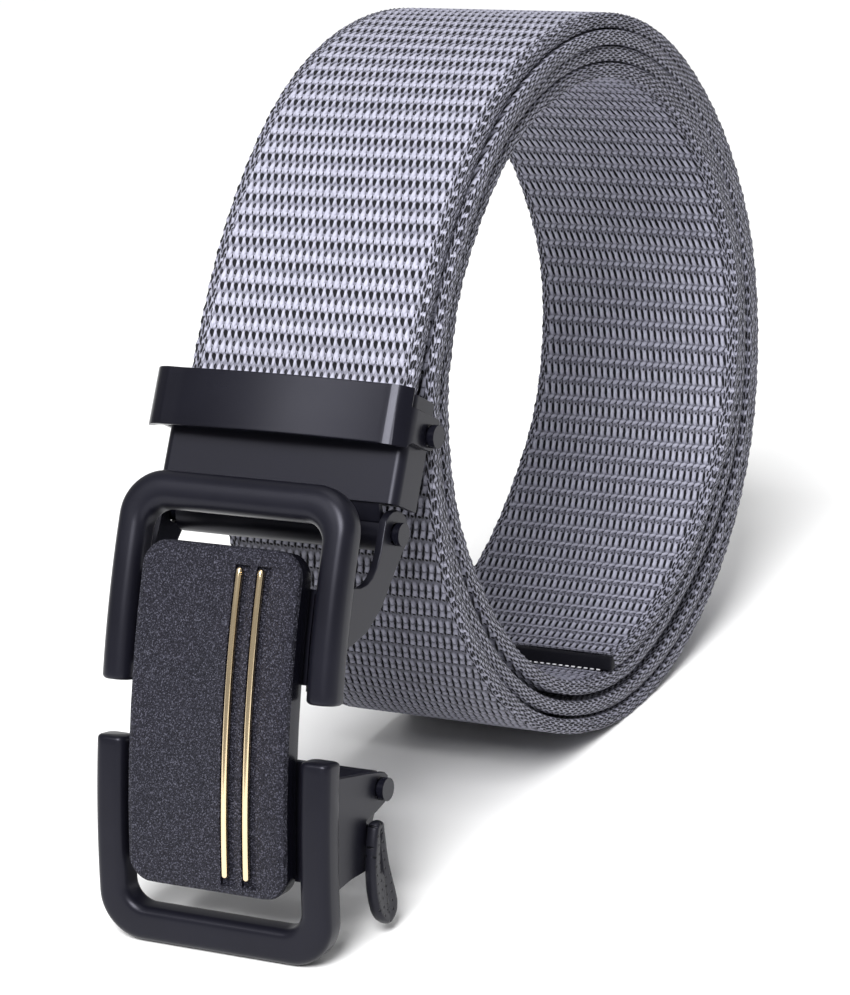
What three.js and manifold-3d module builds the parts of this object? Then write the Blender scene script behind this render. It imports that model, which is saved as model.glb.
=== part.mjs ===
// A nylon webbing belt, rolled up and standing on its coil, with an automatic buckle in front.
// Units are millimetres: +X along the webbing's width, +Y to the back, +Z up.
import * as THREE from 'three';
import { mergeVertices } from 'three/addons/utils/BufferGeometryUtils.js';
import Module from 'manifold-3d';

const wasm = await Module();
wasm.setup();

// Webbing
const webbingWidth = 35;
const webbingThickness = 2.15;
const coilRadius = 54.2; // middle of the coil to the outer turn where it stands
const windStart = 163; // degrees round the coil, where the webbing leaves the clamp
const windSweep = 1337; // degrees wound inwards from there to the sealed end
const windStep = 5; // degrees for each flat of the coil
const clampedLength = 13; // straight stretch inside the clamp
const sealLength = 1.2; // melted end of the webbing

// Clearances and the fineness of the curves
const gap = 0.3; // between pieces that are fastened to each other
const pinClearance = 0.3; // round a pin in its bore
const weldDistance = 1e-4; // corners closer than this are one
const sideArcSteps = 10; // steps in an arc of a side wall
const foldArcSteps = 6; // in a fold of sheet metal
const plateArcSteps = 5; // in a corner of a plate
const edgeSteps = 2; // in a softened edge
const roundSides = 20; // sides of a pin

// Clamp that holds the cut end of the webbing
const clampWall = 0.9;
const clampTop = 2.2; // from the start of the clamp's axis down to its upper edge
const clampLength = 15.1;
const clampDepth = 6.2; // depth of the side flanges
const clampBend = 0.5; // inner radius of the clamp's folds
const backPlateTop = 3.4;
const tongueWidth = 32; // narrow lower end that curls round the hinge pin
const knuckleWall = 1;
// Where the tongue meets its knuckle, in shares of the knuckle's radius from the hinge pin.
const tongueEnd = { up: 0.4, front: 0.92, back: 0.3 };

// Clip that bites the webbing
const clipWall = 0.9;
const clipHeight = 8.1;
const clipBend = 2.4; // inner radius of the clip's folds
const clipArmRise = 0.9; // lower edge of the arms above the strip's
const clipTop = 1.8;
const clipStandOff = 3.7; // from the webbing's face to the inside of the clip
const clipArmTop = 4.35; // upper edge of the arms, behind the front strip
const clipStripDepth = 2; // how far the front strip's ends reach back above the arms
const clipPivot = { along: 7.0, behind: 3.2 };

// Pins
const pinRadius = 1.2;
const headRadius = 1.6;
const headHeight = 0.9;
const hingeAlong = 20.7; // hinge pin from the start of the clamp's axis
const hingeBehind = 2.9; // and behind the webbing's face

// Buckle frame: two U shapes on one curved line
const frameWidth = 35.2;
const frameLength = 65.4;
const frameThickness = 4.2;
const frameCurve = 138; // radius of the front, seen from the side
const bendStep = 7; // longest straight edge on the bent pieces
const frameLean = 29.5; // degrees from upright at the top
const frameEdge = 1.2; // rounding of the bars
const frameCorner = 6.5;
const windowCorner = 3; // corners of the opening inside the bars
const sideBar = 4.5;
const topBar = 5.2;
const bottomBar = 5;
const upperLegEnd = 27.6;
const lowerLegStart = 35.2;
const hingeFromTop = 4.4; // hinge pin from the frame's top edge
const hingeDepth = 13.3; // and behind its front

// Web, ears and lock bracket behind the frame
const webWall = 1.5;
const webFront = 2.9;
const webMargin = 0.6; // the web stays this far inside the frame's sides
const spineWidth = 18;
const spineOverlap = 2.5; // the spine runs on behind each web by this much
const upperWebTop = 14;
const lowerWebTop = 37.4;
const lowerWindow = 6.2; // open height between the lower web and the bottom bar
const lowerWebEnd = frameLength - bottomBar - lowerWindow;
const earWall = 1.1;
const earOutside = 17.4; // half the distance over the ears
const earRadius = 3.5;
const earLength = 17.6; // from the hinge pin down to the ear's lowest corner
const bracketOutside = 17.2;
const bracketWall = 1;
const bracketDrop = 11.4; // from the lock pin down to the bracket's lower edge
const lockFromTop = 42.8;
const lockDepth = 15.3;

// Face plate with its two bright bars
const plateWidth = 23;
const plateTop = 9.5;
const plateLength = 45.4;
const plateProud = 1.4; // how far the plate stands out of the frame
const plateCorner = 3.6;
const plateEdge = 0.9;
const barWidth = 0.8;
const barLength = 41;
const barTop = 12.2;
const barProud = 0.35;
const barEdge = 0.15;
const grooveDepth = 0.7;
const grooveShadow = 1.1; // open groove beside each bar
const barPlaces = [2.8, 6.1]; // middle of each bar, right of the plate's middle

// Release lever
const leverWall = 1.1;
const hubRadius = 2.6;
const camReach = 4.6; // from the lock pin to the cam's nose
const camFlat = 2; // width of the nose
const paddleThickness = 1.7;
const paddleTop = 4.2; // from the lock pin down to where the paddle starts
const paddleLength = 16.4;
const paddleFront = -5.3; // the paddle's front edge behind the lock pin
const paddleDepth = 6.4; // greatest distance from its front edge to its rear edge
const neckReach = 8.4; // from the lock pin down to the end of the neck

// The outer turn's outline and the slack between turns, clockwise from the clamp.
// Angles in degrees; outline in shares of the coil's radius, slack in shares of the webbing's thickness.
const turnShape = [
  { angle: 163, outline: 1.109, slack1: 0.88, slack2: 0.37, slack3: 0.35 },
  { angle: 158, outline: 1.087, slack1: 0.65, slack2: 0.28, slack3: 0.28 },
  { angle: 150, outline: 1.065, slack1: 0.28, slack2: 0.16, slack3: 0.16 },
  { angle: 136, outline: 1.041, slack1: 0.12, slack2: 0.12, slack3: 0.12 },
  { angle: 116, outline: 1.028, slack1: 0.12, slack2: 0.12, slack3: 0.12 },
  { angle: 91, outline: 1.004, slack1: 0.12, slack2: 0.12, slack3: 0.12 },
  { angle: 61, outline: 0.991, slack1: 0.12, slack2: 0.12, slack3: 0.12 },
  { angle: 41, outline: 0.991, slack1: 0.12, slack2: 0.15, slack3: 0.12 },
  { angle: 21, outline: 1.015, slack1: 0.12, slack2: 0.51, slack3: 0.12 },
  { angle: 6, outline: 1.042, slack1: 0.12, slack2: 0.74, slack3: 0.14 },
  { angle: -11, outline: 1.059, slack1: 0.19, slack2: 1.12, slack3: 0.28 },
  { angle: -27, outline: 1.068, slack1: 0.23, slack2: 1.3, slack3: 0.65 },
  { angle: -44, outline: 1.054, slack1: 0.28, slack2: 1.4, slack3: 0.93 },
  { angle: -64, outline: 1.028, slack1: 0.37, slack2: 1.35, slack3: 0.4 },
  { angle: -89, outline: 1, slack1: 0.33, slack2: 0.65, slack3: 0.14 },
  { angle: -109, outline: 0.978, slack1: 0.23, slack2: 0.44, slack3: 0.14 },
  { angle: -134, outline: 0.985, slack1: 0.37, slack2: 0.65, slack3: 0.14 },
  { angle: -155, outline: 0.996, slack1: 0.42, slack2: 0.74, slack3: 0.2 },
  { angle: -175, outline: 1.015, slack1: 0.37, slack2: 0.47, slack3: 0.3 },
  { angle: -197, outline: 1.034, slack1: 0.37, slack2: 0.35, slack3: 0.35 },
];

const paint = {
  webbing: new THREE.MeshStandardMaterial({ color: 0x8b8a94, roughness: 0.8, metalness: 0 }),
  seal: new THREE.MeshStandardMaterial({ color: 0x121214, roughness: 0.5, metalness: 0 }),
  black: new THREE.MeshStandardMaterial({ color: 0x17171a, roughness: 0.4, metalness: 0.6 }),
  plate: new THREE.MeshStandardMaterial({ color: 0x202024, roughness: 0.6, metalness: 0.3 }),
  gold: new THREE.MeshStandardMaterial({ color: 0xe3c18b, roughness: 0.25, metalness: 1 }),
};

const radians = THREE.MathUtils.degToRad;

// Smooth value of a column at an angle: cubic pieces whose slopes are the mean of their neighbours'.
function shapeAt(angle, column) {
  const last = turnShape.length - 1;
  let i = turnShape.findIndex((row) => row.angle < angle) - 1;
  if (i < 0) i = angle > turnShape[0].angle ? 0 : last - 1;
  const slope = (k) => {
    const before = turnShape[Math.max(k - 1, 0)];
    const after = turnShape[Math.min(k + 1, last)];
    return (after[column] - before[column]) / (after.angle - before.angle);
  };
  const a = turnShape[i];
  const b = turnShape[i + 1];
  const span = b.angle - a.angle;
  const u = (angle - a.angle) / span;
  const u2 = u * u;
  const u3 = u2 * u;
  return (2 * u3 - 3 * u2 + 1) * a[column] + (u3 - 2 * u2 + u) * span * slope(i)
    + (3 * u2 - 2 * u3) * b[column] + (u3 - u2) * span * slope(i + 1);
}

// A point of the webbing's outer face, after winding inwards by so many degrees.
function outerFace(wound) {
  const turn = Math.min(Math.floor(wound / 360), 3);
  const angle = windStart - (wound - 360 * turn);
  let radius = coilRadius * shapeAt(angle, 'outline');
  for (let layer = 1; layer <= turn; layer += 1) {
    radius -= webbingThickness * (1 + shapeAt(angle, `slack${layer}`));
  }
  return new THREE.Vector2(Math.cos(radians(angle)), Math.sin(radians(angle))).multiplyScalar(radius);
}

// Unit direction of the webbing there, going on inwards.
function windingDirection(wound) {
  const probe = 0.5;
  const from = outerFace(Math.max(wound - probe, 0));
  return outerFace(wound + probe).sub(from).normalize();
}

// The webbing turns clockwise, so its inner side lies to the right of its direction.
const inwards = (direction) => new THREE.Vector2(direction.y, -direction.x);

// A shape drawn in the second and third axes, extruded across the belt from left to right.
function across(shape, left, right) {
  const geometry = new THREE.ExtrudeGeometry(shape, {
    depth: right - left, bevelEnabled: false, curveSegments: sideArcSteps });
  geometry.applyMatrix4(new THREE.Matrix4().makeBasis(
    new THREE.Vector3(0, 1, 0), new THREE.Vector3(0, 0, 1), new THREE.Vector3(1, 0, 0)));
  return geometry.translate(left, 0, 0);
}

// A flat band between two places of the winding; lead is the straight stretch before its start.
function webbingBand(from, to, lead) {
  const steps = Math.max(Math.round((to - from) / windStep), 1);
  const outer = [];
  const inner = [];
  const put = (point, direction) => {
    outer.push(point);
    inner.push(point.clone().addScaledVector(inwards(direction), webbingThickness));
  };
  const start = windingDirection(from);
  if (lead > 0) put(outerFace(from).addScaledVector(start, -lead), start);
  for (let i = 0; i <= steps; i += 1) {
    const wound = from + ((to - from) * i) / steps;
    put(outerFace(wound), windingDirection(wound));
  }
  return across(new THREE.Shape(outer.concat(inner.reverse())), -webbingWidth / 2, webbingWidth / 2);
}

const endRadius = outerFace(windSweep).length();
const degreesAlong = (length) => THREE.MathUtils.radToDeg(length / endRadius);

// Where the clamp sits: its axis starts at the webbing's face and runs on down past the wound part.
const clampStart = outerFace(0);
const clampAxis = windingDirection(0).negate();
const clampBehind = inwards(windingDirection(0));

// Places a geometry drawn as (across, along, behind) on the clamp's axis.
function onClamp(geometry) {
  const place = new THREE.Matrix4().makeBasis(
    new THREE.Vector3(1, 0, 0),
    new THREE.Vector3(0, clampAxis.x, clampAxis.y),
    new THREE.Vector3(0, clampBehind.x, clampBehind.y));
  place.setPosition(0, clampStart.x, clampStart.y);
  return geometry.applyMatrix4(place);
}

const hingeCentre = clampStart.clone()
  .addScaledVector(clampAxis, hingeAlong)
  .addScaledVector(clampBehind, hingeBehind);

// The frame's front is an arc; its centre follows from where the hinge pin sits on the frame.
const leanAt = (along) => radians(frameLean) - along / frameCurve;
const frontNormal = (along) => new THREE.Vector2(-Math.cos(leanAt(along)), Math.sin(leanAt(along)));
const curveCentre = hingeCentre.clone().addScaledVector(frontNormal(hingeFromTop), hingeDepth - frameCurve);

// A point so far along the frame from its top edge and so far behind its front.
function onFrame(along, behind) {
  return curveCentre.clone().addScaledVector(frontNormal(along), frameCurve - behind);
}

// Bends a geometry drawn as (across, along, behind) on to the frame's curve, in flats of the bend's step.
function bend(geometry) {
  const bent = geometryOf(solid(geometry).refineToLength(bendStep));
  const position = bent.attributes.position;
  for (let i = 0; i < position.count; i += 1) {
    const point = onFrame(position.getY(i), position.getZ(i));
    position.setXYZ(i, position.getX(i), point.x, point.y);
  }
  return bent;
}

// A plate drawn as (across, along), from a front depth backwards, with softened edges.
function plate(shape, front, thickness, edge) {
  const geometry = new THREE.ExtrudeGeometry(shape, {
    curveSegments: plateArcSteps,
    depth: thickness - 2 * edge,
    bevelEnabled: edge > 0,
    bevelThickness: edge,
    bevelSize: edge,
    bevelOffset: -edge,
    bevelSegments: edgeSteps,
  });
  return geometry.translate(0, 0, front + edge);
}

function rectangle(left, top, right, bottom) {
  const shape = new THREE.Shape();
  shape.moveTo(left, top);
  shape.lineTo(right, top);
  shape.lineTo(right, bottom);
  shape.lineTo(left, bottom);
  return shape;
}

function roundedRectangle(left, top, right, bottom, corner) {
  const shape = new THREE.Shape();
  const quarter = Math.PI / 2;
  shape.absarc(right - corner, top + corner, corner, -quarter, 0);
  shape.absarc(right - corner, bottom - corner, corner, 0, quarter);
  shape.absarc(left + corner, bottom - corner, corner, quarter, 2 * quarter);
  shape.absarc(left + corner, top + corner, corner, 2 * quarter, 3 * quarter);
  return shape;
}

function block(left, top, front, right, bottom, back) {
  const geometry = new THREE.BoxGeometry(right - left, bottom - top, back - front);
  return geometry.translate((left + right) / 2, (top + bottom) / 2, (front + back) / 2);
}

// A channel folded from a strip, open at the back. Its section is drawn as (across, behind), and its length
// runs along.
function channel(inside, wall, front, back, fold, top, bottom) {
  const outside = inside + wall;
  const quarter = Math.PI / 2;
  const section = new THREE.Shape();
  section.moveTo(-outside, back);
  section.lineTo(-outside, front + wall + fold);
  section.absarc(-inside + fold, front + wall + fold, fold + wall, 2 * quarter, 3 * quarter);
  section.absarc(inside - fold, front + wall + fold, fold + wall, 3 * quarter, 4 * quarter);
  section.lineTo(outside, back);
  section.lineTo(inside, back);
  section.absarc(inside - fold, front + wall + fold, fold, 0, -quarter, true);
  section.absarc(-inside + fold, front + wall + fold, fold, -quarter, -2 * quarter, true);
  section.lineTo(-inside, back);
  const geometry = new THREE.ExtrudeGeometry(section, {
    depth: bottom - top, bevelEnabled: false, curveSegments: foldArcSteps });
  return geometry.rotateX(quarter).translate(0, bottom, 0);
}

// A cylinder along X at a point of the Y-Z plane.
function rod(centre, radius, from, to) {
  const geometry = new THREE.CylinderGeometry(radius, radius, to - from, roundSides);
  geometry.rotateZ(Math.PI / 2);
  return geometry.translate((from + to) / 2, centre.x, centre.y);
}

function solid(geometry) {
  const bare = geometry.clone();
  bare.deleteAttribute('normal');
  bare.deleteAttribute('uv');
  const merged = mergeVertices(bare, weldDistance);
  return new wasm.Manifold(new wasm.Mesh({
    numProp: 3,
    vertProperties: new Float32Array(merged.attributes.position.array),
    triVerts: new Uint32Array(merged.index.array),
  }));
}

function geometryOf(manifold) {
  const mesh = manifold.getMesh();
  const geometry = new THREE.BufferGeometry();
  geometry.setAttribute('position', new THREE.BufferAttribute(mesh.vertProperties, 3));
  geometry.setIndex(new THREE.BufferAttribute(mesh.triVerts, 1));
  geometry.computeVertexNormals();
  return geometry;
}

const joined = (geometries) => geometries.map(solid).reduce((sum, next) => sum.add(next));
const cut = (body, geometries) => geometries.map(solid).reduce((left, next) => left.subtract(next), body);

// Clamp: a channel round the webbing's end, with a tongue that curls round the hinge pin.
const clampInside = webbingWidth / 2 + gap;
const clampOutside = clampInside + clampWall;
const clampBottom = clampTop + clampLength;
const pivotCentre = clampStart.clone()
  .addScaledVector(clampAxis, clipPivot.along)
  .addScaledVector(clampBehind, clipPivot.behind);

function clampBody() {
  const front = -gap - clampWall;
  const back = webbingThickness + gap;
  const flangeBack = front + clampDepth;
  const knuckle = pinRadius + pinClearance + knuckleWall;
  const tongueHalf = tongueWidth / 2;
  const tongueStop = hingeAlong - knuckle * tongueEnd.up;
  const tongue = new THREE.Shape([
    new THREE.Vector2(clampBottom - clampWall, front),
    new THREE.Vector2(tongueStop, hingeBehind - knuckle * tongueEnd.front),
    new THREE.Vector2(tongueStop, hingeBehind - knuckle * tongueEnd.back),
    new THREE.Vector2(clampBottom - clampWall, front + clampWall),
  ]);
  const body = joined([
    onClamp(channel(clampInside, clampWall, front, flangeBack, clampBend, clampTop, clampBottom)),
    onClamp(block(-clampInside - clampWall / 2, backPlateTop, back, clampInside + clampWall / 2,
      clampBottom - gap, back + clampWall)),
    onClamp(across(tongue, -tongueHalf, tongueHalf)),
    rod(hingeCentre, knuckle, -tongueHalf, tongueHalf),
  ]);
  const over = clampOutside + gap;
  return geometryOf(cut(body, [
    rod(hingeCentre, pinRadius + pinClearance, -over, over),
    rod(pivotCentre, pinRadius + pinClearance, -over, -clampInside + gap / 2),
    rod(pivotCentre, pinRadius + pinClearance, clampInside - gap / 2, over),
  ]));
}

// Clip: a strip over the webbing with an arm down each side, on two short rivets.
const clipInside = clampOutside + gap;
const clipOutside = clipInside + clipWall;

function clip() {
  const front = -clipStandOff - clipWall;
  const bottom = clipTop + clipHeight;
  const armBottom = bottom - clipArmRise;
  const armEnd = armBottom - clipPivot.along;
  const side = new THREE.Shape();
  side.moveTo(clipTop, front - gap);
  side.lineTo(bottom, front - gap);
  side.lineTo(bottom, front + clipStripDepth);
  side.lineTo(armBottom, front + clipStripDepth + clipArmRise);
  side.lineTo(armBottom, clipPivot.behind);
  side.absarc(clipPivot.along, clipPivot.behind, armEnd, 0, Math.PI / 2);
  side.absarc(clipArmTop + armEnd / 2, clipPivot.behind + armEnd / 2, armEnd / 2, Math.PI / 2, Math.PI);
  side.lineTo(clipArmTop, front + clipStripDepth);
  side.lineTo(clipTop, front + clipStripDepth);
  const over = clipOutside + gap;
  const back = clipPivot.behind + armEnd;
  const strip = onClamp(channel(clipInside, clipWall, front, back, clipBend, clipTop, bottom));
  const trimmed = solid(strip).intersect(solid(onClamp(across(side, -over, over))));
  const bore = pinRadius + pinClearance;
  return geometryOf(cut(trimmed, [
    rod(pivotCentre, bore, -over, -clipInside + gap / 2),
    rod(pivotCentre, bore, clipInside - gap / 2, over),
  ]));
}

// A rivet from inside the clamp's flange out through the clip's arm.
function clipRivet(side) {
  const inner = side * clampInside;
  const shoulder = side * (clipOutside + gap);
  const outer = side * (clipOutside + gap + headHeight);
  return geometryOf(joined([
    rod(pivotCentre, pinRadius, Math.min(inner, outer), Math.max(inner, outer)),
    rod(pivotCentre, headRadius, Math.min(shoulder, outer), Math.max(shoulder, outer)),
  ]));
}

// A pin with a head at each end, over walls whose outer faces lie at this distance.
function headedPin(centre, outside) {
  const shoulder = outside + gap;
  const end = shoulder + headHeight;
  return geometryOf(joined([
    rod(centre, pinRadius, -end, end),
    rod(centre, headRadius, -end, -shoulder),
    rod(centre, headRadius, shoulder, end),
  ]));
}

// Buckle frame: an upper and a lower U, a curved web and spine behind, hinge ears and the lock bracket.
const lockCentre = onFrame(lockFromTop, lockDepth);
const legRoot = frameThickness - frameEdge; // how far back the walls behind the legs begin

function upperU() {
  const half = frameWidth / 2;
  const inside = half - sideBar;
  const corner = frameCorner;
  const shape = new THREE.Shape();
  shape.moveTo(-half, upperLegEnd);
  shape.lineTo(-half, corner);
  shape.absarc(-half + corner, corner, corner, Math.PI, 1.5 * Math.PI);
  shape.absarc(half - corner, corner, corner, 1.5 * Math.PI, 2 * Math.PI);
  shape.lineTo(half, upperLegEnd);
  shape.lineTo(inside, upperLegEnd);
  shape.absarc(inside - windowCorner, topBar + windowCorner, windowCorner, 0, -Math.PI / 2, true);
  shape.absarc(-inside + windowCorner, topBar + windowCorner, windowCorner, -Math.PI / 2, -Math.PI, true);
  shape.lineTo(-inside, upperLegEnd);
  return bend(plate(shape, 0, frameThickness, frameEdge));
}

function lowerU() {
  const half = frameWidth / 2;
  const inside = half - sideBar;
  const corner = frameCorner;
  const innerEnd = frameLength - bottomBar;
  const shape = new THREE.Shape();
  shape.moveTo(half, lowerLegStart);
  shape.lineTo(half, frameLength - corner);
  shape.absarc(half - corner, frameLength - corner, corner, 0, Math.PI / 2);
  shape.absarc(-half + corner, frameLength - corner, corner, Math.PI / 2, Math.PI);
  shape.lineTo(-half, lowerLegStart);
  shape.lineTo(-inside, lowerLegStart);
  shape.absarc(-inside + windowCorner, innerEnd - windowCorner, windowCorner, Math.PI, Math.PI / 2, true);
  shape.absarc(inside - windowCorner, innerEnd - windowCorner, windowCorner, Math.PI / 2, 0, true);
  shape.lineTo(inside, lowerLegStart);
  return bend(plate(shape, 0, frameThickness, frameEdge));
}

// A side wall from a list of [along, behind] corners, bent with the frame, between two places across.
function sideWall(corners, left, right) {
  const shape = new THREE.Shape(corners.map(([along, behind]) => new THREE.Vector2(along, behind)));
  return bend(across(shape, left, right));
}

// Corners on a circle round a pin, for the round end of a wall.
function roundEnd(along, behind, radius, fromDegrees, toDegrees, count) {
  return Array.from({ length: count + 1 }, (_, i) => {
    const turn = radians(fromDegrees + ((toDegrees - fromDegrees) * i) / count);
    return [along + radius * Math.cos(turn), behind + radius * Math.sin(turn)];
  });
}

// An ear reaches from behind the frame's leg up to the hinge pin. Its corners, in shares of its length
// down from the pin and of the way forward from the pin to the leg.
const earOutline = [
  { down: 0.18, forward: 0.33 },
  { down: 0.31, forward: 0.38 },
  { down: 0.4, forward: 0.46 },
  { down: 0.46, forward: 0.58 },
  { down: 0.495, forward: 0.74 },
  { down: 0.51, forward: 1 },
  { down: 1, forward: 1 },
  { down: 0.84, forward: 0.44 },
  { down: 0.62, forward: 0.11 },
];

function earCorners() {
  const forwardReach = hingeDepth - legRoot;
  return [
    ...earOutline.map(({ down, forward }) => [
      hingeFromTop + down * earLength, hingeDepth - forward * forwardReach]),
    ...roundEnd(hingeFromTop, hingeDepth, earRadius, 50, 250, 10),
  ];
}

// A lock bracket wall reaches back to the lock pin and stops straight across below. Its corners, in shares of
// the bracket's drop below the pin and of the way forward from the pin to the leg.
const bracketOutline = [
  { down: -0.32, forward: 1 },
  { down: 1.07, forward: 1 },
  { down: 1.02, forward: 0.65 },
  { down: 1.02, forward: 0.32 },
  { down: 0.37, forward: 0.3 },
  { down: 0.3, forward: 0.08 },
  { down: 0.22, forward: -0.11 },
  { down: 0.14, forward: -0.17 },
  { down: -0.14, forward: -0.17 },
  { down: -0.2, forward: -0.1 },
  { down: -0.26, forward: 0.33 },
];

function bracketCorners() {
  const forwardReach = lockDepth - legRoot;
  return bracketOutline.map(({ down, forward }) => [
    lockFromTop + down * bracketDrop, lockDepth - forward * forwardReach]);
}

function buckleFrame() {
  const webHalf = frameWidth / 2 - webMargin;
  const spineHalf = spineWidth / 2;
  const web = (left, top, right, bottom) => bend(
    plate(rectangle(left, top, right, bottom), webFront, webWall, 0));
  const parts = [
    upperU(),
    lowerU(),
    web(-webHalf, upperWebTop, webHalf, upperLegEnd - webMargin),
    web(-webHalf, lowerWebTop, webHalf, lowerWebEnd),
    web(-spineHalf, upperLegEnd - spineOverlap, spineHalf, lowerWebTop + spineOverlap),
  ];
  [-1, 1].forEach((side) => {
    const wall = (outside, thickness) => [side * outside, side * (outside - thickness)].sort((a, b) => a - b);
    const [earLeft, earRight] = wall(earOutside, earWall);
    const [bracketLeft, bracketRight] = wall(bracketOutside, bracketWall);
    parts.push(sideWall(earCorners(), earLeft, earRight));
    parts.push(sideWall(bracketCorners(), bracketLeft, bracketRight));
  });
  const over = frameWidth / 2;
  const bore = pinRadius + pinClearance;
  return geometryOf(cut(joined(parts), [
    rod(hingeCentre, bore, -over, over),
    rod(lockCentre, bore, -over, over),
  ]));
}

// Face plate: a softened slab on the web, with a groove for each bright bar.
function facePlate() {
  const half = plateWidth / 2;
  const thickness = plateProud + webFront - gap;
  const outline = roundedRectangle(-half, plateTop, half, plateTop + plateLength, plateCorner);
  const slab = bend(plate(outline, -plateProud, thickness, plateEdge));
  const grooves = barPlaces.map((place) => {
    const left = place - barWidth / 2 - gap;
    const right = place + barWidth / 2 + grooveShadow;
    const shape = rectangle(left, barTop - gap, right, barTop + barLength + gap);
    return bend(plate(shape, -plateProud - gap, gap + grooveDepth, 0));
  });
  return geometryOf(cut(solid(slab), grooves));
}

function brightBar(place) {
  const half = barWidth / 2;
  const shape = rectangle(place - half, barTop, place + half, barTop + barLength);
  const floor = -plateProud + grooveDepth - gap;
  const top = -plateProud - barProud;
  return bend(plate(shape, top, floor - top, barEdge));
}

// Outline of the lever's leaf-shaped paddle, in shares of its length down and of its depth back.
const paddleOutline = [
  { down: 0, back: 0.18 },
  { down: 0.11, back: 0.07 },
  { down: 0.27, back: 0.02 },
  { down: 0.44, back: 0 },
  { down: 0.6, back: 0.02 },
  { down: 0.74, back: 0.09 },
  { down: 0.84, back: 0.18 },
  { down: 0.93, back: 0.33 },
  { down: 1, back: 0.58 },
  { down: 0.99, back: 0.76 },
  { down: 0.93, back: 0.94 },
  { down: 0.83, back: 1 },
  { down: 0.74, back: 0.96 },
  { down: 0.6, back: 0.85 },
  { down: 0.44, back: 0.72 },
  { down: 0.27, back: 0.62 },
  { down: 0.11, back: 0.54 },
  { down: 0, back: 0.46 },
];

// The neck and the crank that joins it to the paddle, in shares of the neck's reach and of the hub's radius.
const neckOutline = [
  { down: 0.7, back: -0.96 },
  { down: 1, back: -1.04 },
  { down: 1, back: -0.23 },
  { down: 0.6, back: 0.23 },
];
const crankOutline = [
  { down: 0.62, back: -1.1 },
  { down: 1, back: -1.12 },
  { down: 1, back: -0.6 },
  { down: 0.62, back: -0.62 },
];

// Release lever: a cam across the bracket on the lock pin, a neck inside the right wall, a paddle outside it.
function releaseLever() {
  const outside = bracketOutside - bracketWall - gap;
  const paddleInside = bracketOutside + gap;
  const besideHub = ({ down, back }) => [lockFromTop + down * neckReach, lockDepth + back * hubRadius];
  const nose = [
    ...roundEnd(lockFromTop, lockDepth, hubRadius, -20, 200, 10),
    [lockFromTop - 0.6 * camFlat, lockDepth - camReach],
    [lockFromTop + 0.4 * camFlat, lockDepth - camReach],
  ];
  const neck = [...roundEnd(lockFromTop, lockDepth, hubRadius, 90, 270, 8), ...neckOutline.map(besideHub)];
  const paddle = paddleOutline.map(({ down, back }) => [
    lockFromTop + paddleTop + down * paddleLength,
    lockDepth + paddleFront + back * paddleDepth,
  ]);
  const body = joined([
    sideWall(nose, -outside, outside),
    sideWall(neck, outside - leverWall, outside),
    sideWall(crankOutline.map(besideHub), outside - leverWall, paddleInside + paddleThickness / 2),
    sideWall(paddle, paddleInside, paddleInside + paddleThickness),
  ]);
  return geometryOf(cut(body, [rod(lockCentre, pinRadius + pinClearance, -frameWidth, outside + gap)]));
}

function piece(name, geometry, material) {
  const mesh = new THREE.Mesh(geometry, material);
  mesh.name = name;
  return mesh;
}

const belt = new THREE.Group();
belt.add(
  piece('webbing_strap', webbingBand(0, windSweep, clampedLength), paint.webbing),
  piece('tail_seal', webbingBand(windSweep + degreesAlong(gap), windSweep + degreesAlong(gap + sealLength), 0),
    paint.seal),
  piece('clamp_body', clampBody(), paint.black),
  piece('clamp_clip', clip(), paint.black),
  piece('clip_rivet_left', clipRivet(-1), paint.black),
  piece('clip_rivet_right', clipRivet(1), paint.black),
  piece('hinge_pin', headedPin(hingeCentre, earOutside), paint.black),
  piece('buckle_frame', buckleFrame(), paint.black),
  piece('lock_pin', headedPin(lockCentre, bracketOutside), paint.black),
  piece('release_lever', releaseLever(), paint.black),
  piece('face_plate', facePlate(), paint.plate),
);
barPlaces.forEach((place, i) => belt.add(piece(`gold_bar_${i + 1}`, brightBar(place), paint.gold)));

// The origin is under the middle of the whole belt, on the surface that it stands on.
const extent = new THREE.Box3().setFromObject(belt);
const middle = extent.getCenter(new THREE.Vector3());
belt.position.set(-middle.x, -middle.y, -extent.min.z);

const group = new THREE.Group();
group.add(belt);

export default group;
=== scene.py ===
import math

import bmesh
import bpy
import numpy as np
from mathutils import Matrix, Vector


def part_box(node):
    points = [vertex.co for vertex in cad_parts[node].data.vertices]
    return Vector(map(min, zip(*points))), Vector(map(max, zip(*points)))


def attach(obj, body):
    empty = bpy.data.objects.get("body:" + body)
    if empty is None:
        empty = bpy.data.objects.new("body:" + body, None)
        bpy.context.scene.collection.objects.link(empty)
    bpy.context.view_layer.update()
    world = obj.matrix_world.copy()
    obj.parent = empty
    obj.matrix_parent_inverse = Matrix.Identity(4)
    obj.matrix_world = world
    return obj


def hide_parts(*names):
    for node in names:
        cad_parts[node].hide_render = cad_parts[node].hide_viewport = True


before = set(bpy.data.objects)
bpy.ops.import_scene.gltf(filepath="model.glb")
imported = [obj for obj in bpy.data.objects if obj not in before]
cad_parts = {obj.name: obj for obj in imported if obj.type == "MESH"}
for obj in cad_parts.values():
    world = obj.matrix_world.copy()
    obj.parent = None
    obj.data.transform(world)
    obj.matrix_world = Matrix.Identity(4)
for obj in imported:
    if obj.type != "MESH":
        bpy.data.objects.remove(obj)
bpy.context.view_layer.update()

mm = 0.001
print("frame loaded")

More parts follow.
